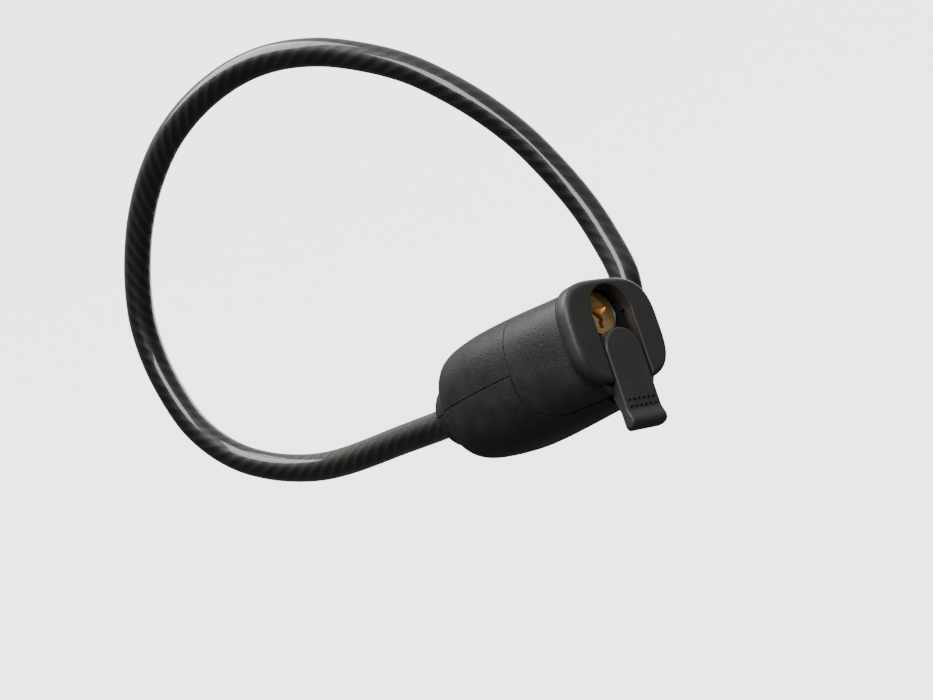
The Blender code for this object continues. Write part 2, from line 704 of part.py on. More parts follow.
elbow_body = rod(
    "elbow_body", 6.0 * MM, 27.0 * MM, 43.0 * MM, "Y", PIN_AXIS, BLACK_PLASTIC, end_radius=6.7 * MM
)
elbow_ball = turned(
    "elbow_ball_form",
    [
        (ELBOW_RADIUS / MM * math.cos(a), ELBOW_RADIUS / MM * math.sin(a))
        for a in np.radians(range(90, -91, -15))
    ],
    "Z",
    ELBOW,
    steps=30,
)
elbow_neck = rod("elbow_neck_form", 6.6 * MM, 0.0, 6.7 * MM, "Z", (0, 0, 0), sides=28, end_radius=6.4 * MM)
elbow_neck.location = ELBOW - CABLE_END_DIRECTION * (3.35 * MM)
elbow_neck.rotation_euler = (-CABLE_END_DIRECTION).to_track_quat("Z", "X").to_euler()
boolean(elbow_body, "UNION", elbow_ball, elbow_neck)

locking_pin = turned(
    "locking_pin",
    [
        (0, 26.7),
        (5.0, 26.7),
        (5.0, 21.9),
        (7.0, 21.9),
        (7.0, 19.3),
        (PIN_RADIUS / MM, 19.3),
        (PIN_RADIUS / MM, 9.5),
        (PIN_GROOVE_RADIUS / MM, 9.5),
        (PIN_GROOVE_RADIUS / MM, 6.2),
        (PIN_RADIUS / MM, 6.2),
        (PIN_RADIUS / MM, 4.2),
        (3.4, 3.0),
        (0, 3.0),
    ],
    "Y",
    PIN_AXIS,
    STEEL,
)
pin_ring = turned(
    "pin_ring",
    [(6.4, 25.2), (6.7, 24.2), (6.4, 23.0), (5.3, 23.0), (5.3, 25.2)],
    "Y",
    PIN_AXIS,
    RUBBER,
    steps=24,
    closed=True,
)
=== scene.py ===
"""Looks of the cable lock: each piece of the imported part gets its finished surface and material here."""

import bmesh
import bpy
import numpy as np
from mathutils import Matrix, Vector


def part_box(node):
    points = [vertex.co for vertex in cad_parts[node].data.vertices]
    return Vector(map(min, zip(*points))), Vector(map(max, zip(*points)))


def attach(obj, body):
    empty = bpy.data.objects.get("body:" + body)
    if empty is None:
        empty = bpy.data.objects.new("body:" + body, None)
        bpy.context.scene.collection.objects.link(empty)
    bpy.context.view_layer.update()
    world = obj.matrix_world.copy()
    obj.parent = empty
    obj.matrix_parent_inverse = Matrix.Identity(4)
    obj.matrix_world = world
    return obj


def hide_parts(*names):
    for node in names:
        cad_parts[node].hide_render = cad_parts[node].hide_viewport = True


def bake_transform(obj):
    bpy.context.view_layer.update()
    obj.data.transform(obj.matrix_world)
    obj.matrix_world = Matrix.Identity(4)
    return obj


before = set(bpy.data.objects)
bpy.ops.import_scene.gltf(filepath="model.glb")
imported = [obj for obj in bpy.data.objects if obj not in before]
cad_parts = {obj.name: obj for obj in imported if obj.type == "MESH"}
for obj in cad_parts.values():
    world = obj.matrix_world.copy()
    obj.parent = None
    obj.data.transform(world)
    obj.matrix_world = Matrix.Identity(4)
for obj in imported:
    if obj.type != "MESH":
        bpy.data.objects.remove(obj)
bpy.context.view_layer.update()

# ---------------------------------------------------------------- camera
# Shapes are drawn in millimetres from the head's datum: the plane of the key face, at the height of the
# cable's axis. X runs out of the key face, Z up it, and Y to the side with the socket. The camera looks at
# the key face from its left and a little below, and is rolled so that the head points up to the right.
datum = np.array([
    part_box("front_cover")[1].x,
    (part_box("dust_cover")[0].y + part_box("dust_cover")[1].y) / 2,
    (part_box("cable_ferrule")[0].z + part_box("cable_ferrule")[1].z) / 2,
])


def in_frame(points):
    """Head millimetres to the row frame's metres."""
    return np.asarray(points, float) / 1000 + datum


camera_data = bpy.data.cameras.new("camera")
camera_data.sensor_width = 36.0
camera_data.lens = 61.7
camera_data.clip_start = 0.01
camera_data.clip_end = 50
camera = bpy.data.objects.new("camera", camera_data)
bpy.context.scene.collection.objects.link(camera)
look = Vector((-0.729, 0.657, 0.190)).normalized()
right = look.cross(Vector((0.338, 0.105, 0.935))).normalized()
camera_turn = Matrix((right, right.cross(look), -look)).transposed().to_4x4()
camera.matrix_world = Matrix.Translation(Vector(in_frame((312.1, -340.8, -80.0)))) @ camera_turn
bpy.context.scene.camera = camera

# ---------------------------------------------------------------- cable
# A steel rope of twisted strands in a clear, smoke-brown PVC jacket, 10 mm over the jacket. One end is
# crimped in the head's collar and the other in the locking end, and its own stiffness holds the loop up.
CABLE_ROUTE = [
    (-74.6, 0.0, 0.0), (-88.0, 0.0, 0.2), (-98.0, -0.8, 0.8), (-111.0, -2.0, 1.7), (-124.0, -3.8, 2.3),
    (-137.0, -6.0, 3.2), (-148.0, -8.4, 4.8), (-159.0, -11.4, 7.9), (-170.0, -15.3, 12.7),
    (-180.0, -19.4, 19.2), (-188.0, -23.4, 27.8), (-194.0, -27.0, 38.5), (-197.5, -30.0, 52.0),
    (-198.8, -32.4, 66.0), (-197.5, -34.0, 80.0), (-193.0, -34.8, 92.5), (-186.5, -34.8, 104.5),
    (-178.0, -34.2, 116.0), (-167.0, -32.4, 127.0), (-153.0, -29.4, 136.3), (-137.0, -24.4, 142.6),
    (-120.0, -18.0, 145.2), (-104.6, -11.0, 143.8), (-89.5, -3.0, 138.2), (-76.5, 5.2, 129.6),
    (-65.5, 13.2, 119.6), (-56.8, 20.8, 107.8), (-50.2, 28.0, 95.8), (-45.0, 34.6, 83.0),
    (-40.8, 40.2, 68.6), (-37.2, 44.0, 54.6), (-34.2, 45.6, 41.0), (-31.6, 45.4, 28.5), (-32.1, 44.4, 19.0),
]
CABLE_RADIUS = 5.0
CABLE_SIDES = 48
CABLE_RINGS = 620
STRANDS = 7
LAY_MM = 38.0
ELBOW_CENTRE = np.array([-40.0, 44.0, -4.0])
END_DIRECTION = np.array([-0.34, 0.0, -0.94]) / np.hypot(0.34, 0.94)


def smooth_line(knots, steps):
    """A Catmull-Rom curve: through each knot, with the slope of the line between its two neighbours."""
    a, b, c, d = knots[:-3, None], knots[1:-2, None], knots[2:-1, None], knots[3:, None]
    t = (np.arange(steps) / steps)[None, :, None]
    line = 0.5 * (2 * b + (c - a) * t + (2 * a - 5 * b + 4 * c - d) * t**2 + (3 * b - a - 3 * c + d) * t**3)
    return np.vstack([line.reshape(-1, knots.shape[1]), knots[-2]])


def walked(line):
    """Length walked along a line at each of its points."""
    return np.concatenate([[0.0], np.cumsum(np.linalg.norm(np.diff(line, axis=0), axis=1))])


def even_line(line, count):
    """The same line read at even steps of its length."""
    far = walked(line)
    return np.stack([np.interp(np.linspace(0, far[-1], count), far, column) for column in line.T], 1)


def tube(line, radii, sides, start=(0.0, 1.0, 0.0)):
    """Centre plus radius times (cos a, sin a), on two directions carried along the line without twisting."""
    along = np.gradient(line, axis=0)
    along /= np.linalg.norm(along, axis=1)[:, None]
    side = np.empty_like(line)
    last = np.array(start, float)
    for k, way in enumerate(along):
        last = last - way * np.dot(last, way)
        last /= np.linalg.norm(last)
        side[k] = last
    other = np.cross(along, side)
    angle = np.linspace(0, 2 * np.pi, sides, endpoint=False)[None, :, None]
    ring = side[:, None] * np.cos(angle) + other[:, None] * np.sin(angle)
    return line[:, None] + ring * np.broadcast_to(radii, len(line))[:, None, None]


def quads(rows, columns, closed=False):
    """Faces of a grid of points stored row by row; closed joins each row's last column to its first."""
    r, c = np.meshgrid(np.arange(rows - 1), np.arange(columns if closed else columns - 1), indexing="ij")
    n = (c + 1) % columns
    corners = [r * columns + c, r * columns + n, (r + 1) * columns + n, (r + 1) * columns + c]
    return np.stack(corners, -1).reshape(-1, 4)


def capped(rings):
    """Points and faces of a closed tube: the rings' grid, and a fan over each end round its middle point."""
    rows, columns = rings.shape[:2]
    points = np.vstack([rings.reshape(-1, 3), rings[0].mean(0), rings[-1].mean(0)])
    k = np.arange(columns)
    n = (k + 1) % columns
    first = np.stack([np.full(columns, rows * columns), n, k], 1)
    end_row = (rows - 1) * columns
    last = np.stack([np.full(columns, rows * columns + 1), k + end_row, n + end_row], 1)
    return points, quads(rows, columns, True).tolist() + first.tolist() + last.tolist()


def solid_from(name, points, faces):
    """An object from head-millimetre points, its doubles merged and its faces turned outwards."""
    mesh = bpy.data.meshes.new(name)
    mesh.from_pydata(in_frame(points).tolist(), [], [[int(v) for v in face] for face in faces])
    work = bmesh.new()
    work.from_mesh(mesh)
    bmesh.ops.remove_doubles(work, verts=work.verts, dist=2e-6)
    bmesh.ops.recalc_face_normals(work, faces=work.faces)
    if work.calc_volume(signed=True) < 0:
        bmesh.ops.reverse_faces(work, faces=work.faces)
    work.to_mesh(mesh)
    work.free()
    made = bpy.data.objects.new(name, mesh)
    bpy.context.scene.collection.objects.link(made)
    return made


def add_node(tree, kind, **values):
    """One shader node, with the given inputs (by name) and properties (names that start with set_)."""
    node = tree.nodes.new(kind)
    for key, value in values.items():
        if key.startswith("set_"):
            setattr(node, key[4:], value)
        else:
            node.inputs[key.replace("_", " ")].default_value = value
    return node


def maths(tree, operation, first, second):
    """A Math node; each operand is a socket or a number."""
    node = add_node(tree, "ShaderNodeMath", set_operation=operation)
    for place, value in enumerate((first, second)):
        if isinstance(value, (int, float)):
            node.inputs[place].default_value = value
        else:
            tree.links.new(value, node.inputs[place])
    return node.outputs[0]


def ramp(tree, factor, *stops):
    """A colour ramp through (place, grey or colour) stops."""
    node = add_node(tree, "ShaderNodeValToRGB")
    while len(node.color_ramp.elements) < len(stops):
        node.color_ramp.elements.new(0.5)
    for element, (place, colour) in zip(node.color_ramp.elements, stops):
        element.position = place
        element.color = (*(colour if isinstance(colour, tuple) else (colour,) * 3), 1)
    tree.links.new(factor, node.inputs["Fac"])
    return node.outputs["Color"]


jacket = bpy.data.materials.new("smoke_pvc_over_strands")
jacket.use_nodes = True
tree = jacket.node_tree
shader = tree.nodes["Principled BSDF"]
uv = add_node(tree, "ShaderNodeUVMap", set_uv_map="UVMap")
split = add_node(tree, "ShaderNodeSeparateXYZ")
tree.links.new(uv.outputs["UV"], split.inputs[0])
turns = maths(tree, "ADD", split.outputs["X"], maths(tree, "MULTIPLY", split.outputs["Y"], 1000 / LAY_MM))
strand = maths(tree, "SINE", maths(tree, "MULTIPLY", turns, 2 * np.pi * STRANDS), 0.0)
wires = maths(tree, "SINE", maths(tree, "MULTIPLY", turns, 2 * np.pi * STRANDS * 6), 0.0)
twisted = maths(tree, "ADD", maths(tree, "MULTIPLY", strand, 0.32), maths(tree, "MULTIPLY", wires, 0.13))
place = add_node(tree, "ShaderNodeTexCoord")
cloud = add_node(tree, "ShaderNodeTexNoise", Scale=45.0, Detail=3.0)
tree.links.new(place.outputs["Object"], cloud.inputs["Vector"])
clouding = maths(tree, "MULTIPLY", cloud.outputs["Fac"], 0.75)
depth = maths(tree, "ADD", maths(tree, "ADD", twisted, 0.12), clouding)
colour = ramp(
    tree, depth,
    (0.25, (0.004, 0.0035, 0.003)), (0.62, (0.012, 0.0095, 0.008)), (0.95, (0.04, 0.031, 0.025)),
)
tree.links.new(colour, shader.inputs["Base Color"])
strand_bump = add_node(tree, "ShaderNodeBump", Strength=0.35, Distance=0.0004)
tree.links.new(twisted, strand_bump.inputs["Height"])
tree.links.new(strand_bump.outputs["Normal"], shader.inputs["Normal"])
jacket_bump = add_node(tree, "ShaderNodeBump", Strength=0.06, Distance=0.0008)
tree.links.new(cloud.outputs["Fac"], jacket_bump.inputs["Height"])
tree.links.new(jacket_bump.outputs["Normal"], shader.inputs["Coat Normal"])
shader.inputs["Metallic"].default_value = 0.3
shader.inputs["Roughness"].default_value = 0.4
shader.inputs["Coat Weight"].default_value = 1.0
shader.inputs["Coat Roughness"].default_value = 0.07
shader.inputs["Coat IOR"].default_value = 1.53

tail_start = ELBOW_CENTRE - END_DIRECTION * 15.5
knots = np.array([*CABLE_ROUTE, tail_start])
before = 2 * knots[0] - knots[1]
after = knots[-1] + END_DIRECTION * np.linalg.norm(knots[-1] - knots[-2])
cable_line = even_line(smooth_line(np.vstack([before, knots, after]), 24), CABLE_RINGS)
cable_far = walked(cable_line) / 1000
rings = tube(cable_line, CABLE_RADIUS, CABLE_SIDES)
points, faces = capped(rings)
mesh = bpy.data.meshes.new("cable_jacket")
mesh.from_pydata(in_frame(points).tolist(), [], faces)
corner = np.zeros(len(mesh.loops), int)
mesh.loops.foreach_get("vertex_index", corner)
around = (corner % CABLE_SIDES) / CABLE_SIDES
wall_corners = 4 * (CABLE_RINGS - 1) * CABLE_SIDES
corner_number = np.arange(len(corner))
seam_quad = (corner_number // 4 % CABLE_SIDES == CABLE_SIDES - 1) & (corner_number < wall_corners)
around[seam_quad & (around == 0)] = 1.0
along = cable_far[np.minimum(corner // CABLE_SIDES, CABLE_RINGS - 1)]
mesh.uv_layers.new(name="UVMap").data.foreach_set("uv", np.stack([around, along], 1).ravel())
cable = bpy.data.objects.new("cable_jacket", mesh)
bpy.context.scene.collection.objects.link(cable)
mesh.shade_smooth()
mesh.materials.append(jacket)
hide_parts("cable")
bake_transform(cable)

# ---------------------------------------------------------------- casing: upper and lower shell
# Two injection-moulded halves in black nylon with a spark-eroded grain. They meet along the cable's axis
# and run out into the round collar that the cable enters; the lower one carries on under the key face.
CASING = np.array([
    (-79.5, 7.6, 7.6, 7.6, 2.0), (-79.35, 8.4, 8.4, 8.4, 2.0), (-78.9, 9.4, 9.4, 9.4, 2.0),
    (-77.6, 10.9, 10.9, 10.9, 2.0), (-75.0, 12.0, 12.0, 12.0, 2.0), (-72.2, 12.45, 12.5, 12.5, 2.0),
    (-71.0, 12.8, 13.3, 13.1, 2.1), (-70.4, 13.4, 14.9, 14.3, 2.3), (-69.4, 14.7, 16.6, 16.0, 2.4),
    (-66.0, 16.2, 18.3, 18.0, 2.5), (-60.0, 17.2, 19.2, 19.5, 2.6), (-50.0, 17.7, 19.6, 20.7, 2.7),
    (-40.0, 17.3, 19.4, 21.0, 2.7), (-30.0, 16.4, 18.9, 20.8, 2.7), (-20.0, 15.0, 18.2, 20.5, 2.7),
    (-14.0, 13.7, 17.8, 20.35, 2.7), (-10.0, 12.7, 17.0, 20.2, 2.7), (-6.0, 12.6, 16.8, 20.1, 2.7),
    (-2.4, 12.6, 16.8, 20.0, 2.7),
])
WALL = 1.6
SEAM_X, SEAM_CORNER_Z, SEAM_FLOOR, TURN_CENTRE_X = -32.5, -4.0, -17.4, -19.0
casing_fine = smooth_line(np.vstack([2 * CASING[0] - CASING[1], CASING, 2 * CASING[-1] - CASING[-2]]), 16)
casing_fine[:, 0] = np.maximum.accumulate(casing_fine[:, 0])


def casing_size(x):
    """Half width, height above the axis, depth below it and squareness of the casing at x."""
    return [np.interp(x, casing_fine[:, 0], casing_fine[:, k]) for k in range(1, 5)]


def casing_point(x, angle, shrink=0.0):
    """Rounded-square section in polar form: radius (|cos/half|^n + |sin/height|^n)^(-1/n) at each angle."""
    half, above, below, square = casing_size(x)
    height = np.where(np.sin(angle) >= 0, above, below) - shrink
    across, up = np.abs(np.cos(angle) / (half - shrink)), np.abs(np.sin(angle) / height)
    radius = (across**square + up**square) ** (-1 / square)
    return np.stack(np.broadcast_arrays(x, radius * np.cos(angle), radius * np.sin(angle)), -1)


def casing_angle(x, z):
    """The polar angle on the +Y side at which the casing's surface at x has the height z."""
    half, above, below, square = casing_size(x)
    height = np.where(z >= 0, above, below)
    across = half * np.clip(1 - np.abs(z / height) ** square, 1e-6, 1) ** (1 / square)
    return np.arctan2(z, across)


def with_modifiers(made, *steps):
    """Gives an object modifiers, each (type, settings), and keeps their result as its mesh."""
    for kind, settings in steps:
        step = made.modifiers.new(kind.lower(), kind)
        for key, value in settings.items():
            setattr(step, key, value)
    bpy.context.view_layer.update()
    result = bpy.data.meshes.new_from_object(made.evaluated_get(bpy.context.evaluated_depsgraph_get()))
    made.modifiers.clear()
    made.data = result
    return made


def carve(target, operation, *others):
    """A Boolean with each of the other objects, which are then thrown away."""
    for other in others:
        with_modifiers(target, ("BOOLEAN", {"operation": operation, "solver": "EXACT", "object": other}))
        bpy.data.objects.remove(other)
    return target


def sheet_wall(name, grid, thickness=WALL, edge=0.3):
    """A grid surface given the moulding's wall inwards, its rims rounded off."""
    rows, columns = grid.shape[:2]
    mesh = bpy.data.meshes.new(name)
    mesh.from_pydata(in_frame(grid.reshape(-1, 3)).tolist(), [], quads(rows, columns).tolist())
    work = bmesh.new()
    work.from_mesh(mesh)
    bmesh.ops.remove_doubles(work, verts=work.verts, dist=2e-6)
    bmesh.ops.recalc_face_normals(work, faces=work.faces)
    middle = Vector(in_frame((-40, 0, 0)))
    outward = sum(face.normal.dot(face.calc_center_median() - middle) for face in work.faces)
    if outward < 0:
        bmesh.ops.reverse_faces(work, faces=work.faces)
    work.to_mesh(mesh)
    work.free()
    made = bpy.data.objects.new(name, mesh)
    bpy.context.scene.collection.objects.link(made)
    return with_modifiers(
        made,
        ("SOLIDIFY", {"thickness": thickness / 1000, "offset": -1.0}),
        ("BEVEL", {
            "width": edge / 1000, "segments": 3, "limit_method": "ANGLE", "angle_limit": np.radians(55),
        }),
    )


def turned(name, profile, centre, axis, steps=96):
    """A closed (radius, distance) profile carried round an axis: point = axis end + radius (cos a, sin a)."""
    profile = np.array(profile, float)
    angle = np.linspace(0, 2 * np.pi, steps, endpoint=False)
    radius, along = profile[:, 0, None], profile[:, 1, None]
    flat = [radius * np.cos(angle), radius * np.sin(angle), along + 0 * angle]
    order = {"X": (2, 0, 1), "Y": (1, 2, 0), "Z": (0, 1, 2)}[axis]
    grid = np.stack([flat[k] for k in order], -1) + np.array(centre, float)
    if profile[0, 0] > 0:
        grid = np.concatenate([grid, grid[:1]])
        return solid_from(name, grid.reshape(-1, 3), quads(len(grid), steps, True).tolist())
    return solid_from(name, *capped(grid))


def prism(name, outline, low, high, axis):
    """A flat outline carried straight along an axis between two places."""
    outline = np.array(outline, float)
    order = {
        "X": lambda a, b, t: (t, a, b),
        "Y": lambda a, b, t: (a, t, b),
        "Z": lambda a, b, t: (a, b, t),
    }[axis]
    ends = [np.stack(order(outline[:, 0], outline[:, 1], np.full(len(outline), t)), 1) for t in (low, high)]
    k = np.arange(len(outline))
    n = (k + 1) % len(k)
    walls = np.stack([k, n, n + len(k), k + len(k)], 1).tolist()
    return solid_from(name, np.vstack(ends), walls + [k[::-1].tolist(), (k + len(k)).tolist()])


def box(name, low, high):
    """A plain block between two corners."""
    (x0, y0, z0), (x1, y1, z1) = low, high
    return prism(name, [(x0, y0), (x1, y0), (x1, y1), (x0, y1)], z0, z1, "Z")


def finish(made, material, body, slot_name, *nodes, angle=35):
    """Smooth shading up to an angle, the material, and which body and CAD nodes the piece stands for."""
    made.data.materials.clear()
    made.data.materials.append(material)
    made.data.shade_smooth()
    made.data.set_sharp_from_angle(angle=np.radians(angle))
    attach(made, body)
    if nodes:
        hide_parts(*nodes)
    return made


def two_noises(tree, place, patches, grain):
    """Soft patches with some of a fine grain over them, and the fine grain alone."""
    soft = add_node(tree, "ShaderNodeTexNoise", Scale=patches, Detail=4.0)
    fine = add_node(tree, "ShaderNodeTexNoise", Scale=grain, Detail=2.0)
    for noise in (soft, fine):
        tree.links.new(place, noise.inputs["Vector"])
    softly = maths(tree, "MULTIPLY", soft.outputs["Fac"], 0.6)
    finely = maths(tree, "MULTIPLY", fine.outputs["Fac"], 0.4)
    return maths(tree, "ADD", softly, finely), fine.outputs["Fac"]


def moulded_or_metal(name, dark, light, rough, grain, depth, metallic=0.0, patches=160.0, coat=0.0):
    """A finish whose tone wanders between two colours in soft patches, under a grain of bumps (per metre)."""
    made = bpy.data.materials.new(name)
    made.use_nodes = True
    tree = made.node_tree
    shader = tree.nodes["Principled BSDF"]
    place = add_node(tree, "ShaderNodeTexCoord").outputs["Object"]
    both, fine = two_noises(tree, place, patches, grain)
    tree.links.new(ramp(tree, both, (0.35, dark), (0.65, light)), shader.inputs["Base Color"])
    tree.links.new(ramp(tree, both, (0.35, rough[0]), (0.65, rough[1])), shader.inputs["Roughness"])
    bump = add_node(tree, "ShaderNodeBump", Strength=0.6, Distance=depth)
    tree.links.new(fine, bump.inputs["Height"])
    tree.links.new(bump.outputs["Normal"], shader.inputs["Normal"])
    shader.inputs["Metallic"].default_value = metallic
    shader.inputs["Coat Weight"].default_value = coat
    shader.inputs["Coat Roughness"].default_value = 0.25
    return made


grained = moulded_or_metal("grained_nylon", 0.010, 0.018, (0.40, 0.56), 2200.0, 0.0002)

back_part = casing_fine[casing_fine[:, 0] < -64.0, :2]
shell_x = np.concatenate([even_line(back_part, 26)[:-1, 0], np.linspace(-64.0, SEAM_X - 0.15, 44)])
rim = casing_angle(shell_x, 0.12)
share = np.linspace(0, 1, 141)[None, :]
upper_grid = casing_point(shell_x[:, None], rim[:, None] + (np.pi - 2 * rim[:, None]) * share)
upper = sheet_wall("upper_casing", upper_grid)

turn = np.linspace(0, np.pi / 2, 28)[1:]
reach_x, reach_z = TURN_CENTRE_X - SEAM_X + 0.15, SEAM_CORNER_Z - SEAM_FLOOR + 0.15
edge_x = np.concatenate([
    shell_x,
    np.full(8, SEAM_X - 0.15),
    TURN_CENTRE_X - reach_x * np.cos(turn),
    np.linspace(TURN_CENTRE_X, -2.4, 22)[1:],
])
edge_z = np.concatenate([
    np.full(len(shell_x), -0.12),
    np.linspace(-0.12, SEAM_CORNER_Z, 9)[1:],
    SEAM_CORNER_Z - reach_z * np.sin(turn),
    np.full(21, SEAM_FLOOR - 0.15),
])
back_keel = shell_x[shell_x < -44]
upright = len(shell_x) + 8
keel_x = np.concatenate([
    back_keel,
    np.linspace(-44, SEAM_X - 0.6, upright - len(back_keel) + 1)[1:],
    np.linspace(SEAM_X - 0.6, -2.4, len(edge_x) - upright + 1)[1:],
])
half_share = np.linspace(0, 1, 66)
edge_angle = casing_angle(edge_x, edge_z)
grid_x = edge_x[:, None] + (keel_x - edge_x)[:, None] * half_share[None]
grid_angle = edge_angle[:, None] + (-np.pi / 2 - edge_angle)[:, None] * half_share[None]
one_side = casing_point(grid_x, grid_angle)
lower_grid = np.concatenate([one_side, (one_side * (1, -1, 1))[:, -2::-1]], 1)
lower = sheet_wall("lower_casing", lower_grid)

PIN_CENTRE = (-40.0, 0.0, -4.0)
SCREWS = [(-63.0, 12.9), (-54.0, 12.9)]
core_x = np.linspace(-69.5, -45.0, 50)
whole_turn = np.linspace(0, 2 * np.pi, 181)[None, :-1]
for x, y in SCREWS:
    post = turned("post", [(0, -0.4), (2.6, -0.4), (2.9, -18.0), (0, -18.0)], (x, y, 0), "Z", 32)
    core = solid_from("core", *capped(casing_point(core_x[:, None], whole_turn, 0.4)))
    carve(post, "INTERSECT", core)
    carve(lower, "UNION", post)
for x, y in SCREWS:
    well = [(0, -30), (2.2, -30), (2.2, -8.3), (1.3, -8.3), (1.3, 3), (0, 3)]
    carve(lower, "DIFFERENCE", turned("well", well, (x, y, 0), "Z", 32))
boss_cut = [(0, 9), (8.3, 9), (8.3, 30), (0, 30)]
carve(upper, "DIFFERENCE", turned("boss_cut", boss_cut, PIN_CENTRE, "Y"))
carve(lower, "DIFFERENCE", turned("boss_cut", boss_cut, PIN_CENTRE, "Y"))
carve(lower, "DIFFERENCE", box("slot_foot", (-5.7, -8.4, -40), (5, 8.4, 0)))
finish(upper, grained, "root", "black_plastic", "upper_shell")
finish(lower, grained, "root", "black_plastic", "lower_shell")

# ---------------------------------------------------------------- casing: front cover with the key face
# One moulding: grained sides that run back to the seam, a drawn-in neck, and a smoother horseshoe face
# with a slot for the dust cover. The slot's upper end is round and opens onto the key cylinder.
FACE_HALF, FACE_HEIGHT, FACE_CENTRE_Z, FACE_SQUARENESS = 18.8, 16.2, 1.5, 3.2
SLOT_HALF, SLOT_DEPTH, ARCH_Z = 8.4, 5.7, 7.0


def arc(centre, radius, start, end, count):
    """Points of an arc, its angles in degrees."""
    angle = np.radians(np.linspace(start, end, count))
    return np.stack([centre[0] + radius * np.cos(angle), centre[1] + radius * np.sin(angle)], 1)


turn = np.linspace(0, np.pi / 2, 26)[1:]
reach_x, reach_z = reach_x - 0.3, reach_z - 0.3
rise = np.linspace(casing_angle(SEAM_X + 0.15, SEAM_CORNER_Z), np.pi / 2, 60)
front_edge_x = np.concatenate([
    np.linspace(-2.4, TURN_CENTRE_X, 26),
    TURN_CENTRE_X - reach_x * np.sin(turn),
    np.full(59, SEAM_X + 0.15),
])
front_edge_z = np.concatenate([np.full(26, SEAM_FLOOR + 0.15), SEAM_CORNER_Z - reach_z * np.cos(turn)])
edge_angle = np.concatenate([casing_angle(front_edge_x[:51], front_edge_z), rise[1:]])
lip_angle = np.linspace(casing_angle(-2.4, -6.0), np.pi / 2, len(edge_angle))
share = np.linspace(0, 1, 52)
grid_x = front_edge_x[:, None] + (-2.4 - front_edge_x)[:, None] * share[None]
grid_angle = edge_angle[:, None] + (lip_angle - edge_angle)[:, None] * share[None]
one_side = casing_point(grid_x, grid_angle)
front = sheet_wall("front_casing", np.concatenate([one_side, (one_side * (1, -1, 1))[-2::-1]]))

swing = np.linspace(0, 2 * np.pi, 721)[:-1]
powers = [np.sign(wave) * np.abs(wave) ** (2 / FACE_SQUARENESS) for wave in (np.cos(swing), np.sin(swing))]
face_outline = np.stack([FACE_HALF * powers[0], FACE_CENTRE_Z + FACE_HEIGHT * powers[1]], 1)
face_angle = np.unwrap(np.arctan2(face_outline[:, 1], face_outline[:, 0]))
face_reach = np.linalg.norm(face_outline, axis=1)
spread = np.linspace(face_angle[0], face_angle[0] + 2 * np.pi, 241)[:-1]
wrapped_angle = np.append(face_angle, face_angle[0] + 2 * np.pi)
face_radius = np.interp(spread, wrapped_angle, np.append(face_reach, face_reach[0]))
smoothing = np.exp(-(np.arange(-4, 5) ** 2) / 6)
looped_radius = np.concatenate([face_radius[-4:], face_radius, face_radius[:4]])
face_radius = np.convolve(looped_radius, smoothing / smoothing.sum(), "valid")
quarter = np.linspace(0, np.pi / 2, 9)
profile = np.vstack([
    np.stack([-2.05 + 0 * quarter[:1], 0 * quarter[:1]], 1),
    np.stack([-2.0 + 2.0 * np.sin(quarter), -2.0 + 2.0 * np.cos(quarter)], 1),
    np.stack([-1.5 + 1.5 * np.cos(quarter), -4.3 - 1.5 * np.sin(quarter)], 1),
])
neck = np.linspace(0, 1, 12)[1:]
neck_radius = np.linalg.norm(casing_point(-10.5, spread)[:, 1:], axis=1)
neck_radius = np.minimum(neck_radius, face_radius - 1.6) - 0.1


def face_ring(radius, x):
    """A ring of points at x, with its own radius at each angle of the face's outline."""
    return np.stack([0 * spread + x, radius * np.cos(spread), radius * np.sin(spread)], 1)


rings = [face_ring(face_radius + r, x) for r, x in profile]
for t in neck:
    radius = (face_radius - 1.5) + (neck_radius - face_radius + 1.5) * np.sin(t * np.pi / 2)
    rings.append(face_ring(radius, -5.8 - 5.0 * (1 - np.cos(t * np.pi / 2))))
carve(front, "UNION", solid_from("face_plate", *capped(np.array(rings))))

slot_outline = np.vstack([[(-SLOT_HALF, -40.0), (SLOT_HALF, -40.0)], arc((0, ARCH_Z), SLOT_HALF, 0, 180, 49)])


def flared(outline, low, high, flare):
    """A cutter whose outline widens over its last stretch, so that it leaves a rounded rim."""
    middle = np.array([0.0, ARCH_Z])
    away = outline - middle
    out = away / np.linalg.norm(away, axis=1)[:, None]
    out[outline[:, 1] < ARCH_Z] = np.sign(out[outline[:, 1] < ARCH_Z]) * (1, 0)
    rounded = [(high - flare + flare * np.sin(a), flare * (1 - np.cos(a))) for a in quarter]
    levels = [(low, 0.0), *rounded, (high + 2, flare)]
    stacked = [np.column_stack([np.full(len(outline), x), outline + out * grow]) for x, grow in levels]
    return capped(np.array(stacked))


carve(front, "DIFFERENCE", solid_from("slot_cut", *flared(slot_outline, -SLOT_DEPTH, 0.0, 0.5)))
carve(front, "DIFFERENCE", box("rib_grooves", (-4.8, -9.3, -14.1), (-2.9, 9.3, 8.0)))
KEY_CENTRE = (0.0, 0.0, 8.4)
ring_seat = [(0, -8.8), (8.05, -8.8), (8.05, -5.2), (0, -5.2)]
barrel_way = [(0, -14), (7.35, -14), (7.35, -5), (0, -5)]
carve(front, "DIFFERENCE", turned("ring_seat", ring_seat, KEY_CENTRE, "X"))
carve(front, "DIFFERENCE", turned("barrel_way", barrel_way, KEY_CENTRE, "X"))
carve(front, "DIFFERENCE", turned("boss_cut", boss_cut, PIN_CENTRE, "Y"))

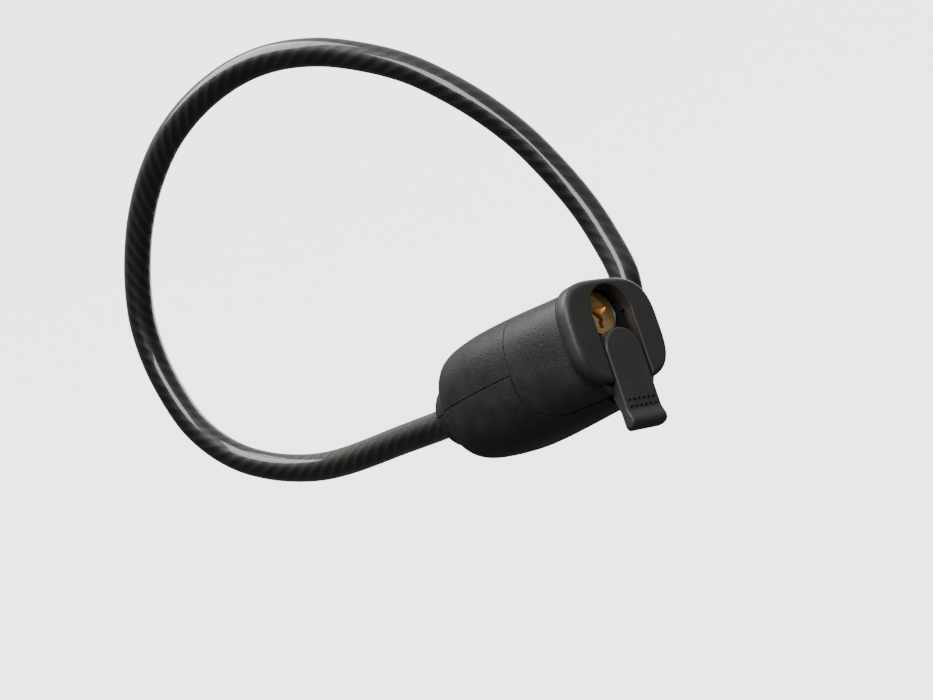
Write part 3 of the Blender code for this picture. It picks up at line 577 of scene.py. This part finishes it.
cover_skin = bpy.data.materials.new("front_cover_nylon")
cover_skin.use_nodes = True
tree = cover_skin.node_tree
shader = tree.nodes["Principled BSDF"]
place = add_node(tree, "ShaderNodeTexCoord").outputs["Object"]
split = add_node(tree, "ShaderNodeSeparateXYZ")
tree.links.new(place, split.inputs[0])
# Near the key face the grain fades and the colour lifts to a warm grey. The smoother finish is real; the
# lighter grey is painted sheen, the light falling on the satin face of a moulding as black as its sides.
on_face = add_node(tree, "ShaderNodeMapRange", set_interpolation_type="SMOOTHSTEP")
on_face.inputs["From Min"].default_value = float(datum[0]) - 0.0045
on_face.inputs["From Max"].default_value = float(datum[0]) - 0.0015
tree.links.new(split.outputs["X"], on_face.inputs["Value"])
wander, fine = two_noises(tree, place, 160.0, 2200.0)
wandering = maths(tree, "MULTIPLY", wander, 0.55)
tone = maths(tree, "ADD", wandering, maths(tree, "MULTIPLY", on_face.outputs["Result"], 0.35))
# Painted sheen: the top stop's warm grey is the face's lit look, while the sides keep the black nylon's own
# tones.
face_tone_and_painted_sheen = ramp(tree, tone, (0.2, 0.010), (0.36, 0.017), (0.75, (0.050, 0.048, 0.045)))
tree.links.new(face_tone_and_painted_sheen, shader.inputs["Base Color"])
tree.links.new(ramp(tree, tone, (0.2, 0.44), (0.36, 0.54), (0.75, 0.38)), shader.inputs["Roughness"])
off_face = maths(tree, "SUBTRACT", 1.0, maths(tree, "MULTIPLY", on_face.outputs["Result"], 0.8))
height = maths(tree, "MULTIPLY", fine, off_face)
bump = add_node(tree, "ShaderNodeBump", Strength=0.6, Distance=0.0002)
tree.links.new(height, bump.inputs["Height"])
tree.links.new(bump.outputs["Normal"], shader.inputs["Normal"])
finish(front, cover_skin, "root", "black_plastic", "front_cover")

# ---------------------------------------------------------------- key cylinder
# A die-cast zinc barrel with a turned ring at its mouth, and in it a brass plug that the key turns. The
# plug's face is machined with a four-sided funnel that leads the key into a stepped keyway.
zinc = moulded_or_metal(
    "zinc_alloy", (0.10, 0.105, 0.12), (0.19, 0.195, 0.21), (0.32, 0.46), 1800.0, 0.000006, 1.0,
)
brass = moulded_or_metal(
    "machined_brass", (0.80, 0.50, 0.19), (0.95, 0.68, 0.32), (0.26, 0.36), 900.0, 0.0000008, 0.85,
)
barrel = turned("cylinder_barrel", [
    (7.9, -6.1), (7.7, -5.9), (6.98, -5.9), (6.78, -6.1), (6.78, -8.0), (5.48, -8.0), (5.48, -30.8),
    (7.0, -30.8), (7.2, -30.6), (7.2, -8.5), (7.9, -8.5),
], KEY_CENTRE, "X", 128)
pin_seat = [(0, -1.5), (1.3, -1.5), (1.3, 2.6), (0, 2.6)]
carve(barrel, "DIFFERENCE", turned("pin_seat", pin_seat, (-20, 0, 0), "Z", 32))
carve(barrel, "DIFFERENCE", box("wafer_channel", (-28.5, -1.3, 12.0), (-10.5, 1.3, 14.9)))
finish(barrel, zinc, "root", "zinc", "lock_barrel")

plug = turned("brass_plug", [
    (0, -5.7), (6.5, -5.7), (6.66, -5.86), (6.66, -7.7), (5.4, -7.7), (5.4, -31.0),
    (3.0, -31.0), (3.0, -31.6), (0, -31.6),
], KEY_CENTRE, "X", 128)
FUNNEL_CENTRE_Z = 9.9
funnel_rings = [
    [[x, reach * np.cos(a), FUNNEL_CENTRE_Z + reach * np.sin(a)] for a in np.radians((0, 90, 180, 270))]
    for x, reach in ((-9.4, 0.5), (-5.4, 4.3))
]
carve(plug, "DIFFERENCE", solid_from("funnel_cut", *capped(np.array(funnel_rings))))
keyway = [
    (-1.1, 3.7), (0.4, 3.7), (0.4, 5.6), (1.1, 5.6), (1.1, 9.4), (0.5, 9.9), (0.5, 11.4), (-1.1, 11.4),
    (-1.1, 8.0), (-0.4, 7.6), (-0.4, 6.3), (-1.1, 5.9),
]
carve(plug, "DIFFERENCE", prism("keyway_cut", keyway, -28.5, -4.0, "X"))
tail_hole = [(0, -34), (1.3, -34), (1.3, -29.2), (0, -29.2)]
carve(plug, "DIFFERENCE", turned("tail_hole", tail_hole, KEY_CENTRE, "X", 32))
FIRST_WAFER_X, WAFER_PITCH = -11.6, 2.9
for k in range(6):
    x = FIRST_WAFER_X - WAFER_PITCH * k
    carve(plug, "DIFFERENCE", box("wafer_cut", (x - 0.75, -3.4, 1.9), (x + 0.75, 3.4, 14.9)))
finish(plug, brass, "key_cylinder", "brass", "key_plug", angle=20)

# ---------------------------------------------------------------- dust cover
# A tongue of the same black nylon, finely eroded, that slides up its grooves over the key face. Its top is
# round, its foot is a wedge for the thumb, and two rows of small chevrons give grip.
# Satin finish of the cover's black nylon, its colours lifted to a dark grey: the finer grain and roughness
# are real, and the lighter grey is painted sheen for the light on its smooth face.
satin_and_painted_sheen = moulded_or_metal(
    "satin_nylon", (0.040, 0.038, 0.036), (0.052, 0.050, 0.047), (0.36, 0.46), 3200.0, 0.00005,
)
COVER_HALF, COVER_TOP_Z, COVER_THICK = 7.4, -5.3, 4.4
cover_z = np.concatenate([
    -28.7 + 1.6 * (1 - np.cos(np.linspace(0, np.pi / 2, 12))),
    np.linspace(-27.1, COVER_TOP_Z, 60)[1:],
    COVER_TOP_Z + COVER_HALF * np.sin(np.linspace(0, np.pi / 2, 40))[1:],
])
corner = np.clip((-27.1 - cover_z) / 1.6, 0, 1)
crown = np.clip((cover_z - COVER_TOP_Z) / COVER_HALF, 0, 1)
cover_half = COVER_HALF * np.sqrt(1 - crown**2) - 1.6 * (1 - np.sqrt(1 - corner**2))
across = np.sin(np.linspace(-np.pi / 2, np.pi / 2, 49))
cover_y, cover_z = cover_half[:, None] * across[None], np.repeat(cover_z[:, None], 49, 1)
rim_points = np.vstack([np.stack([side * cover_half, cover_z[:, 0]], 1) for side in (-1, 1)])
rim_points = np.vstack([rim_points, np.stack([np.linspace(-5.8, 5.8, 60), np.full(60, -28.7)], 1)])
from_rim = np.stack([cover_y, cover_z], -1)[:, :, None] - rim_points[None, None]
to_rim = np.sqrt((from_rim**2).sum(-1)).min(-1)


def rounded_drop(distance, radius):
    """How far an edge of that radius has fallen away at a distance in from the rim."""
    return radius - np.sqrt(radius**2 - np.clip(radius - distance, 0, radius) ** 2)


wedge = np.clip((-22.6 - cover_z) / 3.6, 0, 1)
foot_bevel = 1.9 * np.clip((-26.4 - cover_z) / 2.3, 0, 1) ** 2
cover_front = -rounded_drop(to_rim, 0.8) + 0.9 * wedge**2 * (3 - 2 * wedge) - foot_bevel
cover_back = -COVER_THICK + rounded_drop(to_rim, 0.5) + 1.4 * np.clip((-17.0 - cover_z) / 6.0, 0, 1)
cover_front = np.maximum(cover_front, cover_back + 0.6)
front_face, back_face = (np.stack([x, cover_y, cover_z], -1) for x in (cover_front, cover_back))
rings = np.concatenate([front_face, back_face[:, ::-1]], 1)
cover = solid_from("sliding_dust_cover", *capped(rings))
ribs = box("cover_ribs", (-4.4, -9.0, -13.5), (-3.3, 9.0, -6.0))
carve(cover, "UNION", ribs)
dimple = [(0, -6), (1.3, -6), (1.3, -3.6), (0, -3.6)]
carve(cover, "DIFFERENCE", turned("dimple", dimple, (0, 0, -9.5), "X", 32))
CHEVRON_HALF, CHEVRON_PITCH = 0.75, 2.05
for row_z in (-20.4, -22.5):
    for k in range(6):
        y = (k - 2.5) * CHEVRON_PITCH
        lower_edge = [(y - CHEVRON_HALF, row_z - 0.6), (y, row_z + 0.1), (y + CHEVRON_HALF, row_z - 0.6)]
        upper_edge = [(y + CHEVRON_HALF, row_z + 0.25), (y, row_z + 0.95), (y - CHEVRON_HALF, row_z + 0.25)]
        outline = lower_edge + upper_edge
        carve(cover, "DIFFERENCE", prism("chevron", outline, -0.55, 2.0, "X"))
finish(cover, satin_and_painted_sheen, "dust_cover", "face_plastic", "dust_cover")

# ---------------------------------------------------------------- locking end
# The cable's free end: a crimped steel sleeve, a moulded elbow, and the turned steel pin whose groove the
# latch drops into. A rubber ring keeps water out where the elbow meets the head.
plated = moulded_or_metal(
    "plated_steel", (0.34, 0.34, 0.35), (0.52, 0.52, 0.53), (0.2, 0.34), 1500.0, 0.000004, 1.0,
)
rubber = moulded_or_metal("dull_rubber", 0.010, 0.018, (0.65, 0.8), 1400.0, 0.00006)
pin = turned("turned_locking_pin", [
    (0, 26.7), (5.0, 26.7), (5.0, 21.9), (6.7, 21.9), (7.0, 21.6), (7.0, 19.6), (6.7, 19.3), (4.5, 19.3),
    (4.5, 9.7), (4.3, 9.5), (3.4, 9.5), (3.2, 9.3), (3.2, 6.4), (3.4, 6.2), (4.3, 6.2), (4.5, 6.0),
    (4.5, 4.2), (4.2, 3.5), (3.4, 3.0), (0, 3.0),
], PIN_CENTRE, "Y", 96)
finish(pin, plated, "locking_end", "steel", "locking_pin")
ring = turned("sealing_ring", [
    (6.4, 25.2), (6.62, 24.8), (6.7, 24.2), (6.62, 23.5), (6.4, 23.0), (5.3, 23.0), (5.3, 25.2),
], PIN_CENTRE, "Y", 96)
finish(ring, rubber, "locking_end", "rubber", "pin_ring")

up = -END_DIRECTION
bend = smooth_line(np.array([
    (-40.0, 24.0, -4.0), (-40.0, 27.0, -4.0), (-40.0, 31.0, -4.0), (-40.0, 35.5, -4.0),
    tuple(ELBOW_CENTRE - np.array([0, 3.6, 0]) + up * 0.5),
    tuple(ELBOW_CENTRE + np.array([0, -0.7, 0]) + up * 1.4),
    tuple(ELBOW_CENTRE + up * 4.2), tuple(ELBOW_CENTRE + up * 6.65), tuple(ELBOW_CENTRE + up * 9.0),
]), 10)
far = walked(bend) / walked(bend)[-1]
girth = np.interp(far, [0, 0.03, 0.45, 0.72, 0.9, 0.97, 1], [5.6, 6.0, 6.6, 6.95, 6.6, 6.45, 6.1])
girth -= 0.28 * (np.abs(((far - 0.08) * 9) % 1 - 0.5) < 0.14) * (far > 0.08) * (far < 0.5)
elbow = solid_from("moulded_elbow", *capped(tube(bend, girth, 64, start=(1, 0, 0))))
finish(elbow, grained, "locking_end", "black_plastic", "elbow_body")

sleeve_at = np.linspace(7.1, 14.9, 53)
crimps = np.cos((sleeve_at - 8.4) / 5.2 * 6 * np.pi) > 0.2
waves = 6.15 - 0.35 * crimps * (sleeve_at > 8.2) * (sleeve_at < 13.8)
waves = np.convolve(np.pad(waves, 2, "edge"), np.array([1, 2, 3, 2, 1]) / 9, "valid")
waves[[0, -1]] = 5.85
sleeve_line = ELBOW_CENTRE + up * sleeve_at[:, None]
sleeve = solid_from("crimped_sleeve", *capped(tube(sleeve_line, waves, 72)))
finish(sleeve, plated, "locking_end", "steel", "crimp_sleeve")

# ---------------------------------------------------------------- collar bush and casing screws
# A soft rubber bush lines the collar's mouth and keeps the jacket from chafing. Two plated screws, in
# wells under the casing on the socket's side, hold its two shells together.
bush = turned("collar_bush", [
    (6.9, -74.8), (6.9, -79.0), (6.6, -79.5), (6.1, -79.75), (5.6, -79.6), (5.3, -79.2), (5.3, -74.8),
], (0, 0, 0), "X", 96)
finish(bush, rubber, "root", "rubber", "strain_bush")
for number, (x, y) in enumerate(SCREWS, 1):
    screw = turned("casing_screw_%d" % number, [
        (0, 8.0), (0.6, 8.0), (1.0, 7.2), (1.0, -8.6), (1.9, -8.6), (1.9, -9.9), (1.8, -10.15),
        (1.5, -10.35), (0, -10.4),
    ], (x, y, 0), "Z", 48)
    carve(screw, "DIFFERENCE", box("cross_a", (x - 1.1, y - 0.2, -12), (x + 1.1, y + 0.2, -9.6)))
    carve(screw, "DIFFERENCE", box("cross_b", (x - 0.2, y - 1.1, -12), (x + 0.2, y + 1.1, -9.6)))
    finish(screw, plated, "root", "steel", "shell_screw_%d" % number)

# ---------------------------------------------------------------- inside the head
# The cast chassis, the latch and its spring, the wafers, the cable's ferrule and the small fixings keep
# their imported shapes, and get the metal that each is made of.
INSIDE = {
    zinc: ["chassis"],
    plated: [
        "socket_bush", "barrel_pin", "latch_spring", "cable_ferrule", "ferrule_pin", "detent_ball",
        "detent_spring", "retaining_clip", "cam", "cam_screw", "latch",
    ],
    brass: ["wafer_%d" % number for number in range(1, 7)],
}
for metal, names in INSIDE.items():
    for name in names:
        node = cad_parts[name]
        node.data.materials.clear()
        node.data.materials.append(metal)

# ---------------------------------------------------------------- floor and backdrop
# A wide, pale sweep under and behind the object: flat in the middle and curving up all round. It glows
# evenly, and neither lights the object nor shows in its gloss.
bow = np.linspace(0, np.pi / 2, 24)[1:]
away = np.concatenate([np.linspace(0.001, 1.3, 24), 1.3 + 1.3 * np.sin(bow), np.full(4, 2.6)])
rise = np.concatenate([np.zeros(24), 1.3 * (1 - np.cos(bow)), np.linspace(1.3, 4.5, 5)[1:]])
angle = np.linspace(0, 2 * np.pi, 96, endpoint=False)
flat = [away[:, None] * np.cos(angle), away[:, None] * np.sin(angle), rise[:, None] + 0 * angle]
sweep = np.stack(flat, -1).reshape(-1, 3) + (-0.05, 0.0, -0.25)
mesh = bpy.data.meshes.new("sweep")
mesh.from_pydata(sweep.tolist(), [], quads(len(away), 96, True).tolist())
mesh.shade_smooth()
floor = bpy.data.objects.new("sweep", mesh)
bpy.context.scene.collection.objects.link(floor)
paper = bpy.data.materials.new("white_paper")
paper.use_nodes = True
tree = paper.node_tree
fibre = add_node(tree, "ShaderNodeTexNoise", Scale=9.0, Detail=3.0)
tree.links.new(add_node(tree, "ShaderNodeTexCoord").outputs["Object"], fibre.inputs["Vector"])
shader = tree.nodes["Principled BSDF"]
tree.links.new(ramp(tree, fibre.outputs["Fac"], (0.3, 0.86), (0.7, 0.89)), shader.inputs["Base Color"])
shader.inputs["Roughness"].default_value = 0.9
shader.inputs["Emission Color"].default_value = (1, 1, 1, 1)
shader.inputs["Emission Strength"].default_value = 3.2
mesh.materials.append(paper)
floor.visible_diffuse = False
floor.visible_glossy = False

# ---------------------------------------------------------------- light
# A big soft box above, a smaller one from the left of the key face, a dim one behind, and a room that is
# dark low down and brighter overhead.
world = bpy.data.worlds.new("white_room")
bpy.context.scene.world = world
world.use_nodes = True
tree = world.node_tree
split = add_node(tree, "ShaderNodeSeparateXYZ")
tree.links.new(add_node(tree, "ShaderNodeTexCoord").outputs["Generated"], split.inputs[0])
sky = ramp(tree, split.outputs["Z"], (0.0, 0.10), (0.25, 0.22), (0.75, 0.75))
tree.links.new(sky, tree.nodes["Background"].inputs["Color"])
tree.nodes["Background"].inputs["Strength"].default_value = 1.0
for name, at, size, power in (
    ("soft_box_above", (-160, -260, 560), 0.45, 5.0),
    ("soft_box_left", (294, -459, 260), 0.3, 2.6),
    ("back_fill", (-300, 520, 260), 0.4, 1.5),
):
    lamp_data = bpy.data.lights.new(name, "AREA")
    lamp_data.size = size
    lamp_data.energy = power
    lamp = bpy.data.objects.new(name, lamp_data)
    bpy.context.scene.collection.objects.link(lamp)
    lamp.location = in_frame(at)
    lamp.rotation_euler = (Vector(in_frame((-50, 0, 20))) - lamp.location).to_track_quat("-Z", "Y").to_euler()
